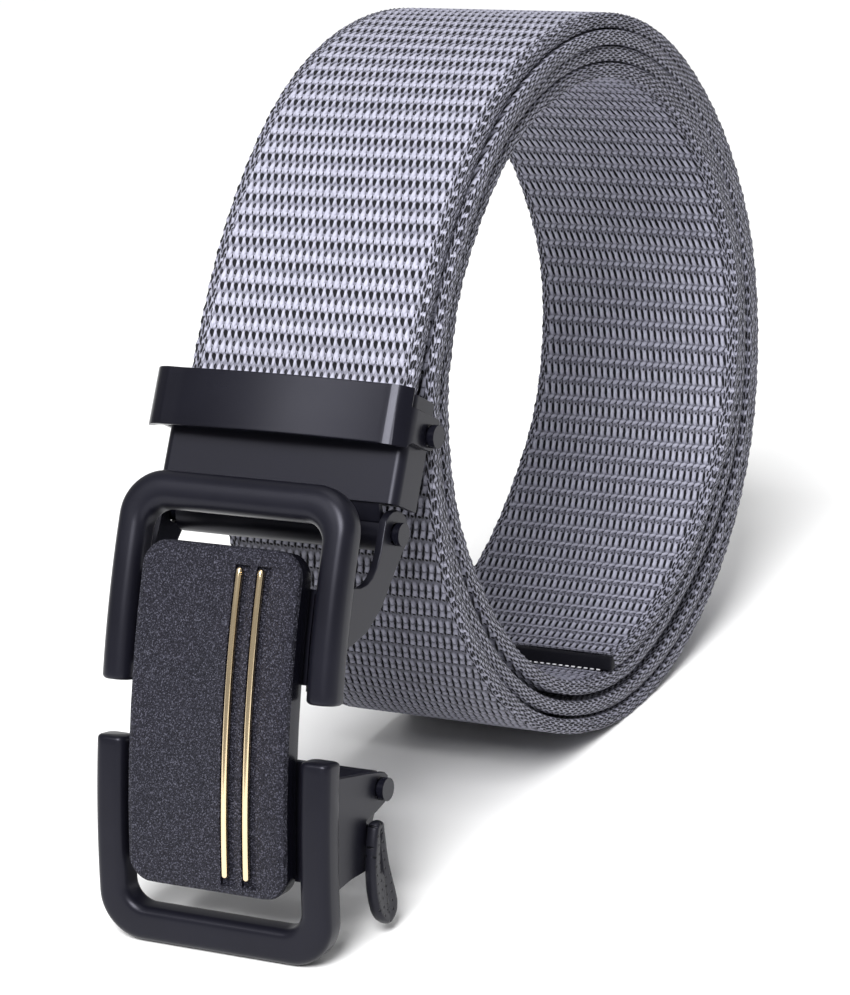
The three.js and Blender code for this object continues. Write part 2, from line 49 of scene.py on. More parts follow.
# the belt's winding in mm and degrees, as in the part's source; the table has the degrees round the coil,
# the outline in shares of the coil's radius, and the slack between turns in shares of the webbing's
# thickness
winding = {
    "coilRadius": 54.2, "thickness": 2.15, "width": 35.0,
    "start": 163.0, "sweep": 1337.0, "clamped": 13.0, "pieces": 267, "points": 5400, "smoothing": 23,
    "lead": 60,
    "table": np.array([
        [163, 1.109, 0.88, 0.37, 0.35], [158, 1.087, 0.65, 0.28, 0.28], [150, 1.065, 0.28, 0.16, 0.16],
        [136, 1.041, 0.12, 0.12, 0.12], [116, 1.028, 0.12, 0.12, 0.12], [91, 1.004, 0.12, 0.12, 0.12],
        [61, 0.991, 0.12, 0.12, 0.12], [41, 0.991, 0.12, 0.15, 0.12], [21, 1.015, 0.12, 0.51, 0.12],
        [6, 1.042, 0.12, 0.74, 0.14], [-11, 1.059, 0.19, 1.12, 0.28], [-27, 1.068, 0.23, 1.3, 0.65],
        [-44, 1.054, 0.28, 1.4, 0.93], [-64, 1.028, 0.37, 1.35, 0.4], [-89, 1, 0.33, 0.65, 0.14],
        [-109, 0.978, 0.23, 0.44, 0.14], [-134, 0.985, 0.37, 0.65, 0.14], [-155, 0.996, 0.42, 0.74, 0.2],
        [-175, 1.015, 0.37, 0.47, 0.3], [-197, 1.034, 0.37, 0.35, 0.35],
    ], float),
}


# cubic through the table: each piece runs between two rows, its end slopes the mean of the neighbours'
def shapeAt(angle, column):
    a, y = winding["table"][::-1, 0], winding["table"][::-1, column]
    before = np.maximum(np.arange(len(a)) - 1, 0)
    after = np.minimum(np.arange(len(a)) + 1, len(a) - 1)
    slope = (y[after] - y[before]) / (a[after] - a[before])
    i = np.clip(np.searchsorted(a, angle, side="right") - 1, 0, len(a) - 2)
    h = a[i + 1] - a[i]
    t = (angle - a[i]) / h
    return ((2 * t**3 - 3 * t**2 + 1) * y[i] + (t**3 - 2 * t**2 + t) * h * slope[i]
            + (3 * t**2 - 2 * t**3) * y[i + 1] + (t**3 - t**2) * h * slope[i + 1])


# point (back, up) of the webbing's outer face in mm: outline radius less one thickness and slack a turn
def outerFace(wound):
    turn = np.clip(np.floor(wound / 360), 0, 3)
    angle = winding["start"] - (wound - 360 * turn)
    radius = winding["coilRadius"] * shapeAt(angle, 1)
    for layer in (1, 2, 3):
        radius = radius - (turn >= layer) * winding["thickness"] * (1 + shapeAt(angle, layer + 1))
    a = np.radians(angle)
    return np.stack([np.cos(a), np.sin(a)], -1) * radius[..., None]


# whole belt as a fine line: the straight clamped stretch, then the winding, with its length from the clamp
def beltLine():
    wound = np.linspace(0, winding["sweep"], winding["points"])
    points = outerFace(wound)
    # a light smoothing takes the small kinks out where one turn hands over to the next
    kernel = np.hanning(winding["smoothing"])
    kernel /= kernel.sum()
    pad = winding["smoothing"] // 2
    padded = np.concatenate([
        2 * points[0] - points[pad:0:-1], points, 2 * points[-1] - points[-2:-pad - 2:-1]])
    points = np.stack([np.convolve(padded[:, k], kernel, "valid") for k in (0, 1)], -1)
    along = np.concatenate([[0], np.cumsum(np.linalg.norm(np.diff(points, axis=0), axis=1))])
    head = points[1] - points[0]
    head /= np.linalg.norm(head)
    lead = np.linspace(-winding["clamped"], 0, winding["lead"])[:-1]
    points = np.concatenate([points[0] + lead[:, None] * head, points])
    return np.concatenate([lead, along]), points, np.concatenate([lead * 0, wound])


lineLength, linePoints, lineWound = beltLine()
lineDirection = np.gradient(linePoints, lineLength, axis=0)
lineDirection /= np.linalg.norm(lineDirection, axis=1)[:, None]
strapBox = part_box("webbing_strap")
# the source draws the coil as 267 straight pieces; their ends touch the solid's back and underside
ends = outerFace(np.linspace(0, winding["sweep"], winding["pieces"] + 1))
shiftY = strapBox[1].y / mm - ends[:, 0].max()
shiftZ = strapBox[0].z / mm - ends[:, 1].min()
print(f"belt line {lineLength[-1]:.0f} mm, middle of the coil at {shiftY:.2f}, {shiftZ:.2f}")

# the camera: place in mm from the middle of the coil, focal length in pixels
view = {
    "focal": 3535.55, "height": 995, "sensor": 36, "clip": (0.02, 20), "place": (242.25, -451.13, 153.46),
    "right": (0.878851, 0.470466, -0.079267), "up": (-0.084956, 0.317806, 0.944342),
}
right, up = Vector(view["right"]), Vector(view["up"])
lens = bpy.data.cameras.new("camera")
lens.sensor_fit = "VERTICAL"
lens.sensor_height = view["sensor"]
lens.lens = view["focal"] * view["sensor"] / view["height"]
lens.clip_start, lens.clip_end = view["clip"]
camera = bpy.data.objects.new("camera", lens)
bpy.context.collection.objects.link(camera)
place = Vector(view["place"]) + Vector((0, shiftY, shiftZ))
camera.matrix_world = Matrix((
    *zip(right, up, right.cross(up), place * mm),
    (0, 0, 0, 1)))
bpy.context.scene.camera = camera


# the mesh of a closed tube from a grid of points in metres: quads join each ring of points to the next, and
# a fan closes each end
def tubeMesh(name, points, inverted):
    rows, columns = points.shape[:2]
    flat = np.concatenate([points.reshape(-1, 3), [points[0].mean(0)], [points[-1].mean(0)]])
    ring = np.arange(columns)
    after = np.roll(ring, -1)
    start = np.arange(rows - 1)[:, None] * columns
    end, centre = (rows - 1) * columns, ring * 0 + rows * columns
    faces = np.stack([
        start + ring, start + after, start + after + columns, start + ring + columns], -1).reshape(-1, 4)
    caps = np.concatenate([
        np.stack([after, ring, centre], -1), np.stack([end + ring, end + after, centre + 1], -1)])
    if inverted:
        faces, caps = faces[:, ::-1], caps[:, ::-1]
    mesh = bpy.data.meshes.new(name)
    mesh.from_pydata(flat, [], faces.tolist() + caps.tolist())
    mesh.polygons.foreach_set("use_smooth", np.full(len(mesh.polygons), True))
    return mesh


# a new material with its node tree and its shader
def newMaterial(name):
    material = bpy.data.materials.new(name)
    material.use_nodes = True
    tree = material.node_tree
    return material, tree, tree.nodes["Principled BSDF"]


# one sum in a material; values are numbers or sockets
def calc(tree, operation, *values, clamp=False):
    node = tree.nodes.new("ShaderNodeMath")
    node.operation = operation
    node.use_clamp = clamp
    for socket, value in zip(node.inputs, values):
        if isinstance(value, (int, float)):
            socket.default_value = value
        else:
            tree.links.new(value, socket)
    return node.outputs[0]


# 1 where the value is below low, 0 above high, smooth between
def below(tree, value, low, high):
    node = tree.nodes.new("ShaderNodeMapRange")
    node.interpolation_type = "SMOOTHSTEP"
    node.inputs["From Min"].default_value = low
    node.inputs["From Max"].default_value = high
    node.inputs["To Min"].default_value = 1
    node.inputs["To Max"].default_value = 0
    tree.links.new(value, node.inputs["Value"])
    return node.outputs[0]


# one oval in every cell: 1 - (du / (ru (1 - taper dv / rv)))^2 - (dv / rv)^2, 0 outside, times its weight;
# lean moves it across as it goes along, taper narrows its far end
def oval(tree, u, v, u0, v0, ru, rv, taper, lean, weight, sharp=1.0):
    du = calc(tree, "WRAP", calc(tree, "SUBTRACT", u, u0), 0.5, -0.5)
    dv = calc(tree, "WRAP", calc(tree, "SUBTRACT", v, v0), 0.5, -0.5)
    if lean:
        du = calc(tree, "MULTIPLY_ADD", dv, lean, du)
    dv = calc(tree, "DIVIDE", dv, rv)
    du = calc(tree, "DIVIDE", du, ru)
    if taper:
        narrow = calc(tree, "MAXIMUM", calc(tree, "MULTIPLY_ADD", dv, -taper, 1.0), 0.1)
        du = calc(tree, "DIVIDE", du, narrow)
    square = calc(tree, "MULTIPLY_ADD", du, du, calc(tree, "MULTIPLY", dv, dv))
    inside = calc(tree, "MULTIPLY", calc(tree, "SUBTRACT", 1.0, square), sharp, clamp=True)
    return calc(tree, "MULTIPLY", inside, weight)


# the largest of several values
def highest(tree, values):
    top = values[0]
    for value in values[1:]:
        top = calc(tree, "MAXIMUM", top, value)
    return top


# a noise of the given scale on a vector
def noise(tree, vector, scale, detail=3.0, roughness=0.55):
    node = tree.nodes.new("ShaderNodeTexNoise")
    node.inputs["Scale"].default_value = scale
    node.inputs["Detail"].default_value = detail
    node.inputs["Roughness"].default_value = roughness
    tree.links.new(vector, node.inputs["Vector"])
    return node.outputs["Fac"]


# a vector, stretched along each axis
def stretched(tree, vector, scale):
    node = tree.nodes.new("ShaderNodeMapping")
    node.inputs["Scale"].default_value = scale
    tree.links.new(vector, node.inputs["Vector"])
    return node.outputs[0]


# colours along a value, each stop a place and a colour
def ramp(tree, value, stops):
    node = tree.nodes.new("ShaderNodeValToRGB")
    node.color_ramp.elements[0].position = stops[0][0]
    node.color_ramp.elements[0].color = (*stops[0][1], 1)
    node.color_ramp.elements[1].position = stops[-1][0]
    node.color_ramp.elements[1].color = (*stops[-1][1], 1)
    for position, colour in stops[1:-1]:
        node.color_ramp.elements.new(position).color = (*colour, 1)
    tree.links.new(value, node.inputs[0])
    return node.outputs[0]


# relief from a height, its distance in metres
def bump(tree, shader, height, strength, distance):
    node = tree.nodes.new("ShaderNodeBump")
    node.inputs["Strength"].default_value = strength
    node.inputs["Distance"].default_value = distance
    tree.links.new(height, node.inputs["Height"])
    tree.links.new(node.outputs[0], shader.inputs["Normal"])


# the weave: gaps, light threads in them and raised yarns, each by its place across and along the cell, half
# width, half length, taper, lean and weight; a cell is one pitch across and one row along, in mm
weave = {
    "pitch": 1.13, "row": 3.42, "firstRow": 0.9, "selvedge": 15.85,
    "relief": 0.24, "gapDepth": 0.9, "level": 0.5,
    "bright": (0.41, 0.41, 0.505), "mid": (0.135, 0.135, 0.175), "dark": (0.003, 0.003, 0.006),
    # painted shade: how far the inside face, the edges and the low weave are darkened for the shade they lie
    # in
    "shade": {"inside": -0.1, "edge": -0.27, "low": -0.2},
    "outside": {
        "gaps": [
            (0.0, 0.0, 0.29, 0.18, -0.5, 0.45, 1.0), (0.5, 0.62, 0.22, 0.13, 0.0, 0.4, 0.8),
            (0.5, 0.3, 0.12, 0.08, 0.0, 0.5, 0.85)],
        "cores": [(0.0, 0.02, 0.14, 0.08, 0.0, 0.45, 0.25), (0.5, 0.62, 0.06, 0.12, 0.0, 0.4, 0.3)],
        "yarns": [
            (0.5, 0.02, 0.26, 0.24, 0.0, 0.0, 1.0), (0.0, 0.5, 0.34, 0.3, 0.3, 0.0, 1.0),
            (0.5, 0.62, 0.08, 0.22, 0.0, 0.0, 0.6), (0.0, 0.03, 0.13, 0.1, 0.0, 0.0, 0.35),
            (0.25, 0.3, 0.22, 0.12, 0.0, -0.6, 0.9), (-0.25, 0.3, 0.22, 0.12, 0.0, 0.6, 0.9)]},
    "inside": {
        "gaps": [
            (0.0, 0.0, 0.07, 0.14, 0.0, 1.7, 0.65), (0.15, 0.55, 0.21, 0.28, 0.2, -0.5, 1.0),
            (0.15, 0.5, 0.08, 0.46, 0.0, -0.5, 0.55), (0.65, 0.27, 0.14, 0.07, 0.0, -0.2, 0.6)],
        "cores": [(0.65, 0.55, 0.1, 0.2, 0.0, 0.1, 0.12)],
        "yarns": [
            (0.5, 0.0, 0.46, 0.15, 0.0, 1.7, 0.85), (0.65, 0.54, 0.38, 0.36, 0.0, -0.5, 1.0)]},
    # the low weave: the outer face's lower stretch, with its own gaps and yarns, and darker with painted
    # shade
    "low": {
        "gaps": [
            (0.0, 0.02, 0.15, 0.47, 0.3, -0.75, 1.0), (0.25, 0.66, 0.24, 0.08, 0.0, -0.2, 0.75),
            (0.5, 0.06, 0.26, 0.035, 0.0, 0.0, 0.2)],
        "cores": [(0.5, 0.25, 0.1, 0.12, 0.0, -0.7, 0.1)],
        "yarns": [(0.66, 0.27, 0.38, 0.26, 0.0, -0.6, 0.95), (0.38, 0.84, 0.42, 0.26, 0.0, -0.9, 1.0)]},
    "edge": {
        "gaps": [(0.5, 0.0, 0.17, 0.46, 0.0, 0.3, 0.8), (0.0, 0.5, 0.18, 0.4, 0.0, -0.3, 0.8)],
        "cores": [(0.0, 0.05, 0.24, 0.2, 0.0, 0.4, 0.15)],
        "yarns": [(0.0, 0.0, 0.4, 0.5, 0.3, 0.35, 1.0), (0.5, 0.5, 0.4, 0.5, -0.3, -0.35, 0.9)]},
}


# how the yarns look: base tone and its painted highlight up a yarn's crown; the noises' scales across and
# along, their size and detail; how far they change the tone, or wander across and along, on the faces and on
# the edges
yarns = {
    "base": 0.55, "crownHighlight": 0.42, "edgeRepeat": (1.3, 1.7), "sharpGaps": 2.6,
    "noises": {
        "wander": ((0.9, 1.7, 1), 1.0, 2), "wanderAlong": ((1.3, 2.2, 1), 1.0, 2),
        "fibre": ((13, 2.6, 1), 1.6, 4), "patch": ((0.35, 0.4, 1), 1.0, 3),
        "each": ((1.9, 4.3, 1), 1.0, 1)},
    "face": {"wander": 0.16, "wanderAlong": 0.06, "each": 0.4, "patch": 0.2, "fibre": 0.45},
    "edge": {"wander": 0.5, "wanderAlong": 0.6, "each": 0.6, "patch": 0.2, "fibre": 0.45},
    "stops": (0.05, 0.5, 1.0), "fibreHeight": 0.2, "gapHeight": -1.2, "depth": 0.00025,
    "roughness": 0.42, "gapRoughness": 0.5, "level": 0.4,
}


# yarn surface: painted shade in the gaps, a painted highlight on the raised yarns, which are also high, with
# fine fibres along them
def yarnMaterial(name, kind):
    material, tree, shader = newMaterial(name)
    uvNode = tree.nodes.new("ShaderNodeUVMap")
    uvNode.uv_map = "weave"
    split = tree.nodes.new("ShaderNodeSeparateXYZ")
    tree.links.new(uvNode.outputs[0], split.inputs[0])
    u, v = split.outputs[0], split.outputs[1]
    amounts = yarns["edge" if kind == "edge" else "face"]
    if kind == "edge":
        u = calc(tree, "MULTIPLY", u, yarns["edgeRepeat"][0])
        v = calc(tree, "MULTIPLY", v, yarns["edgeRepeat"][1])
    cloth = tree.nodes.new("ShaderNodeCombineXYZ")
    tree.links.new(u, cloth.inputs[0])
    tree.links.new(v, cloth.inputs[1])
    noises = {use: noise(tree, stretched(tree, cloth.outputs[0], scales), size, detail)
              for use, (scales, size, detail) in yarns["noises"].items()}

    # adds a noise, taken as from -0.5 to 0.5, to a value
    def varied(value, use):
        return calc(tree, "MULTIPLY_ADD", calc(tree, "SUBTRACT", noises[use], 0.5), amounts[use], value)

    u, v = varied(u, "wander"), varied(v, "wanderAlong")
    cell = weave[kind]
    gaps = highest(tree, [oval(tree, u, v, *gap, yarns["sharpGaps"]) for gap in cell["gaps"]])
    yarn = calc(tree, "SQRT", highest(tree, [oval(tree, u, v, *raised) for raised in cell["yarns"]]))
    cores = highest(tree, [oval(tree, u, v, *core) for core in cell["cores"]])
    # painted highlight: the tone rises towards each yarn's crown
    tone = calc(tree, "MULTIPLY_ADD", yarn, yarns["crownHighlight"], yarns["base"])
    for use in ("each", "patch", "fibre"):
        tone = varied(tone, use)
    # painted shade: the gaps are darkened to near black, and the light threads in them are lifted
    tone = calc(tree, "ADD", calc(tree, "SUBTRACT", tone, gaps), cores)
    # painted shade: the inside face, the edges and the low weave are made darker
    if kind != "outside":
        tone = calc(tree, "ADD", tone, weave["shade"][kind])
    colours = (weave["dark"], weave["mid"], weave["bright"])
    tree.links.new(ramp(tree, tone, list(zip(yarns["stops"], colours))), shader.inputs["Base Color"])
    height = calc(tree, "MULTIPLY_ADD", noises["fibre"], yarns["fibreHeight"], yarn)
    height = calc(tree, "MULTIPLY_ADD", gaps, yarns["gapHeight"], height)
    bump(tree, shader, height, 1.0, yarns["depth"])
    rough = calc(tree, "MULTIPLY_ADD", gaps, yarns["gapRoughness"], yarns["roughness"], clamp=True)
    tree.links.new(rough, shader.inputs["Roughness"])
    shader.inputs["Specular IOR Level"].default_value = yarns["level"]
    return material


# the hard finishes' common values: slow variation's scale and its part of the colour ramp, how far the fine
# and the slow noise change the roughness, the bump's strength, and the cool tint of the black paint's gloss
paint = {"slow": 90, "from": 0.3, "to": 0.7, "fineRough": 0.05, "slowRough": 0.08, "bump": 0.15,
         "tint": (0.86, 0.86, 1.0, 1.0)}


# hard finishes: base colour with slow variation, and a grain of the given size in roughness and bump
def finishMaterial(name, colour, roughness, grain, grainDepth, metallic=0.0, spread=0.15, level=0.23):
    material, tree, shader = newMaterial(name)
    place = tree.nodes.new("ShaderNodeTexCoord")
    fine = noise(tree, place.outputs["Object"], grain, 2)
    slow = noise(tree, place.outputs["Object"], paint["slow"], 3)
    low = tuple(c * (1 - spread) for c in colour)
    high = tuple(min(c * (1 + spread), 1) for c in colour)
    colours = ramp(tree, slow, [(paint["from"], low), (paint["to"], high)])
    tree.links.new(colours, shader.inputs["Base Color"])
    slowPart = calc(tree, "MULTIPLY", calc(tree, "SUBTRACT", slow, 0.5), paint["slowRough"])
    finePart = calc(tree, "MULTIPLY_ADD", calc(tree, "SUBTRACT", fine, 0.5), paint["fineRough"], roughness)
    rough = calc(tree, "ADD", slowPart, finePart, clamp=True)
    tree.links.new(rough, shader.inputs["Roughness"])
    shader.inputs["Metallic"].default_value = metallic
    shader.inputs["Specular IOR Level"].default_value = level
    if not metallic:
        shader.inputs["Specular Tint"].default_value = paint["tint"]
    bump(tree, shader, fine, paint["bump"], grainDepth)
    return material


# the leaf's dots: their spacing along and down in mm, one dot's oval in a cell, their depth in metres, the
# paint's colour and the dots' darker colour, which is painted shade in the pits
dimples = {
    "along": 1.15, "down": 1.3, "oval": (0.2, 0.5, 0.2, 0.18, 0.0, 0.35, 1.0), "depth": 0.00012,
    "paint": (0.006, 0.006, 0.009), "dot": (0.0003, 0.0003, 0.0006),
}


# the leaf's finish: satin with rows of punched dots over its broad faces, dented by the bump and darkened
# with painted shade
def dimpledMaterial():
    material = finishMaterial("dimpled", (0.008, 0.008, 0.012), 0.38, 2600, 0.00001)
    tree = material.node_tree
    shader = tree.nodes["Principled BSDF"]
    place = tree.nodes.new("ShaderNodeTexCoord")
    split = tree.nodes.new("ShaderNodeSeparateXYZ")
    tree.links.new(place.outputs["Object"], split.inputs[0])
    along = calc(tree, "MULTIPLY", split.outputs[1], 1 / (dimples["along"] * mm))
    down = calc(tree, "MULTIPLY", split.outputs[2], 1 / (dimples["down"] * mm))
    dot = oval(tree, along, down, *dimples["oval"])
    bump(tree, shader, calc(tree, "SUBTRACT", 1.0, dot), 1.0, dimples["depth"])
    # painted shade: the dots are darker than the paint around them
    colour = ramp(tree, dot, [(0.0, dimples["paint"]), (0.5, dimples["dot"])])
    tree.links.new(colour, shader.inputs["Base Color"])
    return material


# the plate's grain: scales of its cells and noise, how far the cells' middles brighten it as painted glints,
# its three tones, and its roughness, gloss and relief
grainLook = {
    "cells": 3700, "noise": 3300, "middle": 0.75, "sparkle": 0.25,
    "stops": [(0.42, (0.001, 0.001, 0.003)), (0.6, (0.012, 0.012, 0.019)), (0.77, (0.09, 0.09, 0.12))],
    "roughness": 0.72, "grainRoughness": -0.3, "level": 0.3, "bump": 0.9, "depth": 0.0003,
}


# the plate's finish: grain from a noise, and painted glints at the cells' middles; bright where both are high
def plateMaterial():
    material, tree, shader = newMaterial("plateGrain")
    place = tree.nodes.new("ShaderNodeTexCoord")
    cells = tree.nodes.new("ShaderNodeTexVoronoi")
    cells.inputs["Scale"].default_value = grainLook["cells"]
    tree.links.new(place.outputs["Object"], cells.inputs["Vector"])
    grain = noise(tree, place.outputs["Object"], grainLook["noise"], 3, 0.75)
    sparkle = below(tree, cells.outputs["Distance"], 0.0, grainLook["middle"])
    # painted glints: the cells' middles raise the tone
    tone = calc(tree, "MULTIPLY_ADD", sparkle, grainLook["sparkle"], grain)
    tree.links.new(ramp(tree, tone, grainLook["stops"]), shader.inputs["Base Color"])
    rough = calc(tree, "MULTIPLY_ADD", grain, grainLook["grainRoughness"], grainLook["roughness"])
    tree.links.new(rough, shader.inputs["Roughness"])
    shader.inputs["Specular IOR Level"].default_value = grainLook["level"]
    shader.inputs["Specular Tint"].default_value = paint["tint"]
    bump(tree, shader, calc(tree, "ADD", grain, sparkle), grainLook["bump"], grainLook["depth"])
    return material


yarnKinds = ("outside", "inside", "edge", "low")
yarnMaterials = [yarnMaterial(kind + "Yarn", kind) for kind in yarnKinds]
satinBlack = finishMaterial("satinBlack", (0.0055, 0.0055, 0.009), 0.34, 2600, 0.00001)
clipBlack = finishMaterial("clipBlack", (0.004, 0.004, 0.007), 0.25, 2600, 0.000002)
glossBlack = finishMaterial("glossBlack", (0.004, 0.004, 0.007), 0.22, 1500, 0.00001)
paleGold = finishMaterial("paleGold", (0.85, 0.68, 0.44), 0.14, 3500, 0.00001, metallic=1.0, spread=0.06)
sealBlack = finishMaterial("sealBlack", (0.004, 0.004, 0.006), 0.6, 900, 0.0003, level=0.15)
# painted highlight: the pale colour of the small beads along the tail's lower edge
paleGlintBeads = finishMaterial("paleGlintBeads", (0.75, 0.75, 0.78), 0.6, 2600, 0.00001)
grainPlate = plateMaterial()
dimpled = dimpledMaterial()
print("materials done")

# where the three stretches of webbing begin and end, and where the low weave, darker with painted shade,
# begins, in degrees wound; how far the turns slip sideways at the back and front, and the second turn at the
# front, in mm
turns = {
    "outerEnd": 388.0, "middleStart": 387.7, "middleEnd": 968.0, "innerStart": 967.7, "shadedLowFrom": 256.0,
    "slipBack": 1.6, "slipFront": 1.0, "secondFront": 1.3, "secondAt": 375.0, "secondSpan": 70.0,
}
# points across: ribs a pitch, ribs to each side of the middle, the rims beyond them, points of a plain face
# and of an edge; points a row along a fine and a plain stretch
webbingGrid = {
    "ribShare": 0.25, "ribs": 14, "rims": (0.35, 0.85, 1.25), "plain": 9, "edge": 8, "fineRows": 6,
    "plainRows": 2, "edgeBulge": 0.6, "edgeColumns": 2.5, "fade": 0.4,
}
# the edges' stitches on the faces and their ruffle to the side, in mm
edging = {"stitch": 0.1, "stitchRate": 2.5, "ruffle": 0.1, "slowRuffle": 0.05, "slowRate": 0.73}


# the signed distance to the nearest whole number
def wrap(value):
    return value - np.floor(value + 0.5)


# relief in mm from the same table as the material's: the root of the highest yarn less the deepest gap;
# each oval is 1 - (du / (ru (1 - taper dv / rv)))^2 - (dv / rv)^2, kept from 0 to 1, times its weight
def weaveRelief(kind, u, v):
    def ovals(rows):
        top = u * 0 + v * 0
        for u0, v0, ru, rv, taper, lean, weight in rows:
            dv = wrap(v - v0)
            du = (wrap(u - u0) + lean * dv) / ru
            dv = dv / rv
            du = du / np.maximum(1 - taper * dv, 0.1)
            top = np.maximum(top, weight * np.clip(1 - du**2 - dv**2, 0, 1))
        return top
    gaps = weave["gapDepth"] * ovals(weave[kind]["gaps"])
    return weave["relief"] * (np.sqrt(ovals(weave[kind]["yarns"])) - gaps - weave["level"])


# one stretch of webbing: at each length a closed profile (outer face, right edge, inner face, left edge)
# stands across the belt's line; faces move in by their relief, edges bulge as half an ellipse raised to a
# power, and each turn slips sideways by the cosine of its angle, growing as it is wound
def webbingStretch(name, start, end, fine):
    grid = webbingGrid
    rowStep = weave["row"] / grid["fineRows" if fine else "plainRows"]
    rows = int(round((end - start) / rowStep)) + 1
    s = np.linspace(start, end, rows)
    spots = np.stack([np.interp(s, lineLength, linePoints[:, k]) for k in (0, 1)], -1)
    heading = np.stack([np.interp(s, lineLength, lineDirection[:, k]) for k in (0, 1)], -1)
    heading /= np.linalg.norm(heading, axis=1)[:, None]
    inwards = np.stack([heading[:, 1], -heading[:, 0]], -1)
    wound = np.interp(s, lineLength, lineWound)
    half, thick, pitch = winding["width"] / 2, winding["thickness"], weave["pitch"]
    # the profile: each column's place across, its depth and its zone (outside, right edge, inside, left edge)
    middle = np.arange(-grid["ribs"], grid["ribs"] + 0.01, grid["ribShare"]) * pitch
    rim = np.array(grid["rims"]) + middle[-1]
    fineX = np.concatenate([-rim[::-1], middle, rim])
    plainX = np.linspace(-rim[-1], rim[-1], grid["plain"])
    outX = fineX if fine == "outside" else plainX
    inX = (fineX if fine == "inside" else plainX)[::-1]
    turn = np.linspace(0, np.pi, grid["edge"])[1:-1]
    edgeX = rim[-1] + (half - rim[-1]) * np.sin(turn) ** grid["edgeBulge"]
    edgeDepth = thick / 2 * (1 - np.cos(turn))
    x = np.concatenate([outX, edgeX, inX, -edgeX])
    depth = np.concatenate([outX * 0, edgeDepth, inX * 0 + thick, edgeDepth[::-1]])
    zone = np.repeat(np.arange(4), [len(outX), len(edgeX), len(inX), len(edgeX)])
    columns = len(x)
    u, v = x[None, :] / pitch + 0.5, ((s - weave["firstRow"]) / weave["row"])[:, None]
    # relief and stitches on the fine face, a ruffle on the edges
    fade = np.clip((weave["selvedge"] - np.abs(x)) / grid["fade"], 0, 1)[None, :]
    lift = np.zeros((rows, columns))
    if fine:
        relief = weaveRelief(fine, u, v)
        if fine == "outside":
            relief = np.where(wound[:, None] > turns["shadedLowFrom"], weaveRelief("low", u, v), relief)
        stitch = np.cos(2 * np.pi * (edging["stitchRate"] * v + 0.5 * np.floor(2 * u))) * (1 - fade)
        on = zone == (0 if fine == "outside" else 2)
        lift = np.where(on[None, :], relief * fade + edging["stitch"] * stitch, 0)
    onEdge = (zone == 1) | (zone == 3)
    ruffle = (edging["ruffle"] * np.cos(2 * np.pi * (2 * v + depth[None, :] / thick))
              + edging["slowRuffle"] * np.sin(2 * np.pi * edging["slowRate"] * v))
    swing = np.cos(np.radians(winding["start"] - wound))
    slip = np.where(swing > 0, turns["slipBack"], turns["slipFront"]) * swing * wound / winding["sweep"]
    slip = slip + turns["secondFront"] * np.exp(-((wound - turns["secondAt"]) / turns["secondSpan"]) ** 2)
    across = x[None, :] + (np.sign(x) * onEdge)[None, :] * ruffle + slip[:, None]
    inward = depth[None, :] - np.where(zone == 2, -lift, lift)
    points = np.stack([across, spots[:, None, 0] + inwards[:, None, 0] * inward + shiftY,
                       spots[:, None, 1] + inwards[:, None, 1] * inward + shiftZ], -1)
    mesh = tubeMesh(name, points * mm, True)
    piece = bpy.data.objects.new(name, mesh)
    bpy.context.collection.objects.link(piece)
    # each face's material: the weave of its side, darker with painted shade on the inside, the low weave far
    # enough round, also darker with painted shade, and the edge's, darker with painted shade, past the
    # selvedge and on the quads that lead on to an edge
    outside, inside, edge, low = range(4)
    kinds = np.where(np.abs(x) > weave["selvedge"], edge, np.array([outside, edge, inside, edge])[zone])
    leads = zone != np.roll(zone, -1)
    slots = np.tile(kinds, rows - 1)
    slots = np.where(np.repeat(wound[:-1] > turns["shadedLowFrom"], columns) & (slots == outside), low, slots)
    slots = np.where(np.tile(leads, rows - 1), edge, slots)
    slots = np.append(slots, np.full(2 * columns, edge))
    for material in yarnMaterials:
        mesh.materials.append(material)
    mesh.polygons.foreach_set("material_index", slots.astype(np.int32))
    # the weave's own coordinates: pitches across and rows along; on the edges, columns through the
    # thickness, also at the corners of the quads that lead on to an edge
    loops = np.empty(len(mesh.loops), np.int32)
    mesh.loops.foreach_get("vertex_index", loops)
    edgeU = depth / thick * grid["edgeColumns"]
    acrossU = np.where(onEdge, edgeU, x / pitch + 0.5)[None, :]
    uv = np.stack(np.broadcast_arrays(acrossU, v), -1).reshape(-1, 2)
    values = np.concatenate([uv, [[0, 0], [0, 0]]])[loops]
    leading = np.where(np.tile(leads, rows - 1))[0]
    corners = (leading[:, None] * 4 + np.arange(4)[None, :]).reshape(-1)
    values[corners, 0] = edgeU[loops[corners] % columns]
    layer = mesh.uv_layers.new(name="weave")
    layer.data.foreach_set("uv", values.astype(np.float32).ravel())
    mesh.update()
    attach(piece, "belt")
    print(name, len(mesh.vertices), "points")
    return piece


# length along the line at so many degrees wound
def lengthAt(wound):
    lead = winding["lead"]
    return float(np.interp(wound, lineWound[lead:], lineLength[lead:]))


for name, start, end, fine in (
        ("webbing_outer_turn", -winding["clamped"], lengthAt(turns["outerEnd"]), "outside"),
        ("webbing_middle_turns", lengthAt(turns["middleStart"]), lengthAt(turns["middleEnd"]), ""),
        ("webbing_inner_turn", lengthAt(turns["innerStart"]), lengthAt(winding["sweep"]), "inside")):
    piece = webbingStretch(name, start, end, fine)
    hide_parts("webbing_strap")

